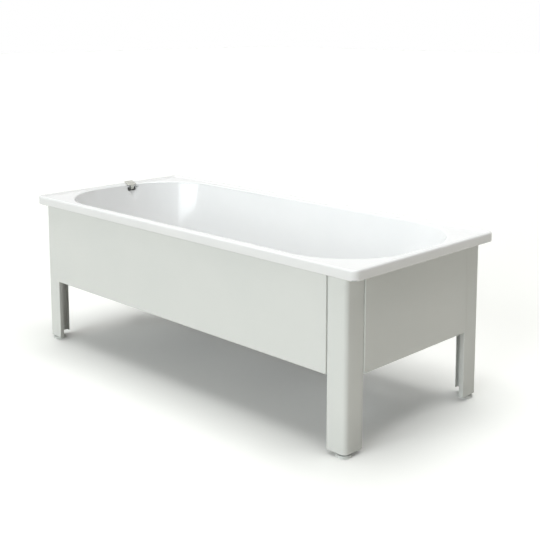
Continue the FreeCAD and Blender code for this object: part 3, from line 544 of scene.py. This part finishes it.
normals = row_normals(upper)
if normals[rim_count + 1, 0, 2] < 0:
    normals = -normals
normals[0], normals[-1] = (0, 0, -1), (0, 0, 1)
basin = rim_count + 3                                 # first row after the deck
kept = {*rim_kept, *range(rim_count, basin), *range(basin, len(upper), basin_stride)}
kept = sorted(kept | {len(upper) - 2, len(upper) - 1})
lower = (upper - steel * normals)[kept]
tub = make_piece(
    "tub_enamel", np.concatenate([upper, lower[::-1]]), "bath", "enamel", ring=True, replaced=["tub_shell"]
)
print("tub faces", len(tub.data.polygons))

# %% [markdown]
# ## The slot behind the cover
# Water leaves the scoop through a rounded slot that is punched in the sheet. Rows can't have a hole at
# their side, so it is cut with a solid of its outline. The modifier's result is then kept as a plain
# mesh, because the piece has to be the same wherever it is opened.

# %% Cut the slot
slot_half, slot_radius = 20 * MM, 5 * MM
slot_heights = (deck_z - 28 * MM, deck_z - 14 * MM)
slot_sides = (overflow_y - slot_half, overflow_y + slot_half)
cutter_ends = (-799 * MM, -755 * MM)     # from behind the scoop to inside the basin
outline = corner_row(slot_sides, slot_heights, slot_radius, 6, 3)
slot_rows = [np.column_stack([np.full(len(outline), x), outline]) for x in cutter_ends]
cutter = make_piece("slot_cutter", slot_rows, "bath", "enamel")
cut = tub.modifiers.new("slot", "BOOLEAN")
cut.operation, cut.solver, cut.object = "DIFFERENCE", "EXACT", cutter
bpy.context.view_layer.update()
evaluated = tub.evaluated_get(bpy.context.evaluated_depsgraph_get())
cut_mesh = bpy.data.meshes.new_from_object(evaluated)
tub.modifiers.clear()
tub.data = cut_mesh
bpy.data.objects.remove(cutter)
cut_mesh.shade_smooth()
cut_mesh.set_sharp_from_angle(angle=math.radians(38))
print("faces after the cut", len(cut_mesh.polygons))

# %% [markdown]
# ## The grey side
# White enamel is fired only on the side that shows, over a grey ground coat that covers both sides.
# The underside could be a piece of its own, but it is the same sheet. So a second material goes to
# the faces that look down inside the rim's skirt.

# %% Ground coat below
skirt_wall, under_basin, looks_down = 2.5 * MM, 20 * MM, -0.02
cut_mesh.materials.clear()
cut_mesh.materials.append(finishes["enamel"])
cut_mesh.materials.append(ground_coat)
centres = np.empty(3 * len(cut_mesh.polygons))
facing = np.empty(3 * len(cut_mesh.polygons))
cut_mesh.polygons.foreach_get("center", centres)
cut_mesh.polygons.foreach_get("normal", facing)
centres, facing = centres.reshape(-1, 3), facing.reshape(-1, 3)
beneath = (np.abs(centres[:, 0]) < half_length - skirt_wall) & (facing[:, 2] < looks_down)
beneath &= (np.abs(centres[:, 1]) < half_width - skirt_wall) & (centres[:, 2] < deck_z)
beneath &= centres[:, 2] > floor_z - under_basin
cut_mesh.polygons.foreach_set("material_index", beneath.astype(np.int32))
print("faces below", int(beneath.sum()), "of", len(beneath))

# %% [markdown]
# ## Panels
# A panel is a shallow tray of folded sheet: a face, a bend of 1.8 mm, and a return that points inward
# and keeps the face flat. A plane with solidify and bevel modifiers could look alike, but then the
# bend's inner and outer radius can't be set apart. The rows run from the face over the bend to the
# return's edge, and back inside.

# %% Tray of folded sheet
panel_sheet, panel_bend, panel_depth, face_margin = 1.2 * MM, 1.8 * MM, 12 * MM, 3 * MM
panel_corner, least_panel_corner = 4 * MM, 0.6 * MM
panel_bottom, panel_top = 238 * MM, skirt_z - 2.5 * MM


def panel_rows(half):
    """Rows as (across, height, depth), each a rounded rectangle drawn in by an inset, at a depth.

    The bend is a quarter arc in the plane of inset and depth, of panel_bend outside and of
    panel_bend - panel_sheet inside.
    """
    centre, inner = (panel_bend, panel_bend), panel_bend - panel_sheet
    outside = np.vstack([
        [(panel_bend + face_margin, 0), (panel_bend, 0)],
        arc(centre, panel_bend, 270, 180, 6)[1:], [(0, panel_depth)],
    ])
    inside = np.vstack([
        [(panel_sheet, panel_depth)], arc(centre, inner, 180, 270, 5),
        [(panel_bend + face_margin, panel_sheet)],
    ])
    rows = []
    for inset, deep in np.vstack([outside, inside]):
        radius = max(panel_corner - inset, least_panel_corner)
        across, height = (-half + inset, half - inset), (panel_bottom + inset, panel_top - inset)
        flat = corner_row(across, height, radius, 6, 3)
        rows.append(np.column_stack([flat, np.full(len(flat), deep)]))
    return np.array(rows)


print("panel height", round((panel_top - panel_bottom) / MM, 1), "mm")

# %% [markdown]
# ## Where the panels hang
# One panel fills the front between the legs, the other the end, each with a narrow gap to the legs.
# They could be copies of one tray, scaled. Scaling would stretch the bend too, so each is made at its
# own width, and its three coordinates are then put in the order of the side it faces.

# %% The two panels
panel_gap, panel_proud = 1.5 * MM, 3.5 * MM
front = panel_rows(leg_x - leg_side - panel_gap)
front_rows = np.stack([front[..., 0], -leg_y - panel_proud + front[..., 2], front[..., 1]], axis=-1)
front_panel = make_piece(
    "front_panel_sheet", front_rows, "front_panel", "white_paint", replaced=["front_panel"], sharp=50
)
end = panel_rows(leg_y - leg_end - panel_gap)
end_rows = np.stack([leg_x + panel_proud - end[..., 2], end[..., 0], end[..., 1]], axis=-1)
end_panel = make_piece(
    "end_panel_sheet", end_rows, "end_panel", "white_paint", replaced=["end_panel"], sharp=50
)
print("panels", [len(p.data.polygons) for p in (front_panel, end_panel)])

# %% [markdown]
# ## A line with rounded corners
# Folded and cut sheet has no sharp corner anywhere. A bevel could round a finished leg, but bends and
# cut edges need very different radii. So a section is drawn as corners that each name their radius.

# %% Round the corners of a line
def rounded_line(points, steps=6):
    """A closed line through (u, v, radius) corners, each replaced by an arc that touches both runs.

    With the half angle h between the runs, an arc starts radius / tan h before its corner.
    """
    line = []
    corners = np.array([p[:2] for p in points], float)
    for k, (u, v, radius) in enumerate(points):
        here = corners[k]
        before, after = corners[k - 1] - here, corners[(k + 1) % len(points)] - here
        before, after = before / np.linalg.norm(before), after / np.linalg.norm(after)
        half = math.acos(float(np.clip(before @ after, -1, 1))) / 2
        middle = (before + after) / np.linalg.norm(before + after)
        centre = here + middle * radius / math.sin(half)
        first = here + before * radius / math.tan(half) - centre
        last = here + after * radius / math.tan(half) - centre
        sweep = np.linspace(0, 1, steps + 1)[:, None]
        angle = math.pi - 2 * half
        spokes = (np.sin((1 - sweep) * angle) * first + np.sin(sweep * angle) * last) / math.sin(angle)
        line.append(centre + spokes)
    return np.vstack(line)


print("a rounded corner has", len(rounded_line([(0, 0, 1), (9, 0, 1), (0, 9, 1)])) // 3, "points")

# %% [markdown]
# ## Legs
# A leg is one bent sheet: two flanges at a right angle round a 16 mm bend, each with a lip turned
# inward that stiffens it. A plane could be folded and given a thickness. But the section is the same
# at every height, so it is drawn once, carried straight up, and mirrored for the other corners.

# %% Leg section and the four legs
leg_sheet, leg_lip = 2 * MM, 16 * MM
leg_bend, lip_bend, cut_edge = 16 * MM, 2.4 * MM, 0.7 * MM
leg_bottom, leg_top = 15 * MM, rim_z - 13 * MM
leg_heights = (leg_bottom, leg_bottom + 1 * MM, 280 * MM, leg_top)
leg_line = rounded_line([
    (0, 0, leg_bend), (leg_side, 0, lip_bend), (leg_side, leg_lip, cut_edge),
    (leg_side - leg_sheet, leg_lip, cut_edge), (leg_side - leg_sheet, leg_sheet, cut_edge),
    (leg_sheet, leg_sheet, leg_bend - leg_sheet), (leg_sheet, leg_end - leg_sheet, cut_edge),
    (leg_lip, leg_end - leg_sheet, cut_edge), (leg_lip, leg_end, cut_edge), (0, leg_end, lip_bend),
])
corners = {"front_left": (-1, -1), "front_right": (1, -1), "rear_left": (-1, 1), "rear_right": (1, 1)}
for name, (side_x, side_y) in corners.items():
    flat = np.column_stack([side_x * (leg_x - leg_line[:, 0]), side_y * (leg_y - leg_line[:, 1])])
    rows = [lift(flat, z) for z in leg_heights]
    make_piece("leg_sheet_" + name, rows, "bath", "white_paint", replaced=["leg_" + name])
print("points in a leg's section", len(leg_line))

# %% [markdown]
# ## Levelling feet
# Each foot is a moulded pad in two layers with a fine groove between them, a wider sole and a smaller
# top that carries the neck of its threaded stud. A cylinder with bevels lacks the groove, which shows
# under the near leg, so a profile is turned instead. A pad rides with its stud on the foot's own body.

# %% Four foot pads
foot_setback = 26 * MM
foot_profile = MM * np.vstack([
    [(2, 0), (21, 0)], arc((23.3, 1.2), 1.2, 270, 360, 5),
    [(24.5, 2.8)], arc((23.3, 3.0), 1.2, 0, 90, 5)[1:],
    [(22, 4.3), (21.8, 4.9), (22.8, 5.0)], arc((21.9, 6.6), 1.4, 0, 90, 5),
    [(11, 8), (2, 8)],
])
for name, (side_x, side_y) in corners.items():
    centre = (side_x * (leg_x - foot_setback), side_y * (leg_y - foot_setback))
    make_piece(
        "foot_" + name + "_pad", turned(foot_profile, centre, 56), "foot_" + name, "foot_plastic",
        replaced=["foot_pad_" + name]
    )
print("the last foot stands at x, y =", round(centre[0], 4), round(centre[1], 4))

# %% [markdown]
# ## A strip along a bent line
# The overflow's cover is cut from thin sheet and bent. A flat shape could be bent with a curve
# modifier, but the width has to change along the way too. So a thin rounded section is set square to
# a line, once for each of the line's points, with a width of its own.

# %% Rows across a strip
strip_edge = 0.6 * MM


def strip_rows(line, widths, thickness, centre_y):
    """Rows across a strip: each row is a thin rounded section, set square to the line.

    A section's point (s, t) lies at the line's point + t * normal, and at centre_y + s across.
    """
    along = np.gradient(line, axis=0)
    along /= np.linalg.norm(along, axis=1)[:, None]
    normal = np.column_stack([-along[:, 1], along[:, 0]])
    t = thickness / 2
    rows = []
    for point, out, width in zip(line, normal, widths):
        section = corner_row((-width / 2, width / 2), (-t, t), strip_edge, 4, 6)
        rows.append(np.column_stack([
            point[0] + out[0] * section[:, 1], centre_y + section[:, 0], point[1] + out[1] * section[:, 1]
        ]))
    return np.array(rows)


print("edge of a strip", strip_edge / MM, "mm")

# %% [markdown]
# ## Overflow cover
# The plate of satin steel lies aslant on the rim's bead, slopes down over the deck, bends down and
# narrows to a tongue that hooks into the slot. It could be three plates joined at the bends. As one
# strip its sheet has one thickness all along, like the real one. It is tangent to the bead along one
# line, which it clears by a hair, and a third of its length lies outside that line.

# %% The cover strip
cover_length, cover_sheet, cover_slope = 30 * MM, 1.6 * MM, 0.4
bead_width, bead_inner, hair = 15 * MM, 3 * MM, 0.3 * MM
tongue_drop = 21 * MM                    # the slot's middle, below the deck
lean = math.atan(cover_slope)
touch = np.array([
    -half_length + bead_width - bead_inner * (1 - math.sin(lean)),
    rim_z - bead_inner * (1 - math.cos(lean)) + hair + cover_sheet / 2,
])
along = np.array([1, -cover_slope])
plate = touch + MM * np.linspace(-10, 17, 9)[:, None] * along
plate_end = touch + along * cover_length * 2 / 3 - (cover_sheet, 0)
bend = plate_end + MM * np.array([(0.2, -0.6), (0.4, -1.8), (0.4, -5)])
hook = np.array([bend[-1][0], deck_z - tongue_drop - cover_sheet / 2])
tongue = hook + MM * np.array([(0, 9), (0, 4), (-0.9, 1.2), (-3.8, 0.2), (-9, 0), (-18, 0)])
plate_widths, neck_widths, tongue_width = [40, 43] + [44] * 5 + [43.6, 42], [34, 22, 17], 16
widths = MM * np.array(plate_widths + neck_widths + [tongue_width] * len(tongue))
cover_rows = strip_rows(np.vstack([plate, bend, tongue]), widths, cover_sheet, overflow_y)
make_piece("overflow_cover_strip", cover_rows, "bath", "satin_steel", replaced=["overflow_cover"])
print("cover rows", len(cover_rows))

# %% [markdown]
# ## Waste flange
# The flange is a plated ring with a raised rounded edge that the loose plug sits in, a sleeve through
# the floor, and a cross with a hub that a screw holds. Cylinders could stand for it, but the light
# runs along its edge. So ring and hub are profiles turned about the drain, and the cross is a rounded
# line carried straight up.

# %% Turned flange with its cross
dish_z = floor_z - dish_drop


def about_dish(profile):
    """(radius, height above the drain's dish) in mm, carried to metres above the floor."""
    return np.asarray(profile, float) * MM + (0, dish_z)


flange = about_dish(np.vstack([
    [(24.5, -1), (40, 1)], arc((39, 2), 1, 0, 90, 4),
    [(31, 2.9), (27.5, 2.6), (24, 1.4), (22.2, -0.5), (22, -3), (22, -26), (24.5, -26)],
]))
make_piece(
    "waste_flange_ring", turned(flange, drain, 72), "bath", "chrome", ring=True, sharp=50,
    replaced=["waste_flange"]
)
arm, half_arm, arm_edge = 23.2 * MM, 2.5 * MM, 0.8 * MM
cross_heights = (dish_z - 26 * MM, dish_z - 22 * MM)
quarter = np.array([(arm, -half_arm), (arm, half_arm), (half_arm, half_arm)])
quarter_turn = np.array([[0, -1], [1, 0]])
plus, step = [], np.eye(2)
for _ in range(4):
    plus += [(u, v, arm_edge) for u, v in quarter @ step.T]
    step = quarter_turn @ step
plus_line = rounded_line(plus, 3) + np.array(drain)
cross_rows = [lift(plus_line, z) for z in cross_heights]
make_piece("waste_flange_cross", cross_rows, "bath", "chrome", replaced=["waste_flange"])
hub = about_dish([(8, -26.2), (8, -21.8), (4, -21.8), (4, -26.2)])
make_piece("waste_flange_hub", turned(hub, drain, 48), "bath", "chrome", ring=True, replaced=["waste_flange"])
print("flange", 2 * round(float(flange[:, 0].max()) / MM, 1), "mm wide")

# %% [markdown]
# ## Plug
# The plug is a loose plated dome with a small waisted knob to lift it by. It lies on the flange's edge
# with its seal below. A squashed sphere with a cylinder could stand for it, but the knob's waist is
# what the fingers hold, so the whole outline is one turned profile. It rides on its own body.

# %% The plug
plug = about_dish(np.vstack([
    [(1, -8.7), (16, -8.7), (17, -7.7), (17, 2.6), (25.5, 3.3)], arc((25.8, 4.5), 1.2, 290, 440, 8),
    [(18, 6.6), (11, 7.1), (8, 7.6), (6.6, 8.4), (6.4, 9.3)], arc((6.9, 10.3), 1.0, 270, 450, 8),
    [(4, 11.3), (1, 11.3)],
]))
make_piece(
    "waste_plug_dome", turned(plug, drain, 64), "waste_plug", "chrome", replaced=["waste_plug"], sharp=50
)
print("plug height", round(float(plug[:, 1].max() - plug[:, 1].min()) / MM, 1), "mm")

# %% [markdown]
# ## The hidden hardware
# Rails, plates, bolts, pipes and seals keep the shapes they were built with. They could be dressed
# like the rest, but they hardly show, so they only get the finish of their material slot. The
# overflow's gasket shows in the slot, so it gets a pale rubber: painted light that lightens the
# shade inside the slot.

# %% Finishes for the remaining nodes
slots = {row["node"]: row["material_slot"] for row in frame["record"]["subparts"]}
for name, node in frame["nodes"].items():
    node.data.materials.clear()
    # the gasket's pale rubber is painted light against the shade in the slot
    node.data.materials.append(finishes["pale_seal" if name == "overflow_gasket" else slots[name]])
print("nodes dressed", len(frame["nodes"]))

# %% [markdown]
# ## Rays that differ
# The photograph's background is pure white and yet throws little light back at the tub. One plain
# white floor and sky can't do both. So their nodes ask which kind of ray has come, and answer the
# camera otherwise than they answer the light on the tub.

# %% Tools for floor and sky
def link_chain(tree, *sockets):
    """Joins sockets pairwise: output, input, output, input."""
    for source, target in zip(sockets[::2], sockets[1::2]):
        tree.links.new(source, target)


def camera_share(tree, kinds):
    """1 for the named kinds of ray, else 0."""
    path = tree.nodes.new("ShaderNodeLightPath")
    share = path.outputs[kinds[0]]
    for kind in kinds[1:]:
        pick = tree.nodes.new("ShaderNodeMath")
        pick.operation = "MAXIMUM"
        link_chain(tree, share, pick.inputs[0], path.outputs[kind], pick.inputs[1])
        share = pick.outputs[0]
    return share


print("tools", [tool.__name__ for tool in (link_chain, camera_share)])

# %% [markdown]
# ## Floor
# A white floor keeps the soft shadow under the tub. A shadow catcher could do so too, but it needs a
# picture with a clear background. The floor has a greyer colour for the light that it sends back to
# the tub than for the camera, and a faint glow that only the camera sees.

# %% The floor
def make_floor(reach, bounced, seen, glow_strength):
    """A square floor: its colour is `bounced` for light that strikes the tub, `seen` for the camera."""
    mesh = bpy.data.meshes.new("floor")
    square = [(-reach, -reach, 0), (reach, -reach, 0), (reach, reach, 0), (-reach, reach, 0)]
    mesh.from_pydata(square, [], [(0, 1, 2, 3)])
    material = bpy.data.materials.new("white_floor")
    material.use_nodes = True
    tree = material.node_tree
    tree.nodes.clear()
    diffuse = tree.nodes.new("ShaderNodeBsdfDiffuse")
    camera_ray = camera_share(tree, ["Is Camera Ray"])
    glow = tree.nodes.new("ShaderNodeEmission")
    both = tree.nodes.new("ShaderNodeAddShader")
    output = tree.nodes.new("ShaderNodeOutputMaterial")
    colour = ramp(tree, camera_ray, [(0.0, bounced), (1.0, seen)])
    strength = spread(tree, camera_ray, 0.0, glow_strength, given=(0.0, 1.0))
    link_chain(
        tree, colour, diffuse.inputs["Color"], strength, glow.inputs["Strength"],
        diffuse.outputs[0], both.inputs[0], glow.outputs[0], both.inputs[1],
        both.outputs[0], output.inputs["Surface"]
    )
    mesh.materials.append(material)
    floor = bpy.data.objects.new("floor", mesh)
    scene.collection.objects.link(floor)
    return reach


half_floor = make_floor(reach=30.0, bounced=(0.72, 0.70, 0.66), seen=(0.99, 1.0, 0.98), glow_strength=0.075)
print("floor", 2 * half_floor, "m square")

# %% [markdown]
# ## Sky
# A studio's walls send a dim, slightly warm light from everywhere. A room could be built round the
# tub, but a sky is simpler and renders sooner. It is white for the camera and in reflections.

# %% The sky
def make_sky(fill, tint):
    """A sky that lights with fill times tint, and looks white to camera, glossy and clear rays."""
    world = bpy.data.worlds.new("sky")
    scene.world = world
    world.use_nodes = True
    tree = world.node_tree
    background = tree.nodes["Background"]
    seen = camera_share(tree, ["Is Camera Ray", "Is Glossy Ray", "Is Transmission Ray"])
    colour = ramp(tree, seen, [(0.0, tint), (1.0, (1.0, 1.0, 1.0))])
    strength = spread(tree, seen, fill, 1.0, given=(0.0, 1.0))
    link_chain(tree, strength, background.inputs["Strength"], colour, background.inputs["Color"])


make_sky(fill=0.15, tint=(1.0, 0.98, 0.90))
print("sky", scene.world.name)

# %% [markdown]
# ## Lamps
# A broad lamp straight above gives the shadow under the tub, a lamp from the front makes the long
# side brighter than the end, and a softbox over the basin fills its steep walls without reaching the
# outside. Softboxes alone could light it all, but their light falls off along so long a tub. So the
# two main lamps are suns with wide angles.

# %% Three lamps
def make_lamp(name, energy, spread_angle, source, colour):
    """A broad sun; source points towards where its light comes from."""
    data = bpy.data.lights.new(name, "SUN")
    data.energy, data.angle, data.color = energy, math.radians(spread_angle), colour
    lamp = bpy.data.objects.new(name, data)
    lamp.rotation_euler = Vector(source).to_track_quat("Z", "Y").to_euler()
    scene.collection.objects.link(lamp)


def make_softbox(name, watts, size, place):
    """A large soft lamp that hangs level above the tub, shines straight down and isn't mirrored in it."""
    data = bpy.data.lights.new(name, "AREA")
    data.shape, data.energy = "RECTANGLE", watts
    data.size, data.size_y = size
    lamp = bpy.data.objects.new(name, data)
    lamp.location = place
    lamp.visible_glossy = False
    scene.collection.objects.link(lamp)


make_softbox("softbox", watts=2.8, size=(0.8, 0.4), place=(0.32, 0.0, 1.65))
make_lamp("overhead", energy=2.15, spread_angle=50, source=(-0.02, 0.05, 1.0), colour=(1.0, 1.0, 0.99))
make_lamp("front", energy=1.66, spread_angle=40, source=(0.02, -0.96, 0.27), colour=(0.93, 0.985, 1.0))
scene.view_settings.view_transform = "Standard"
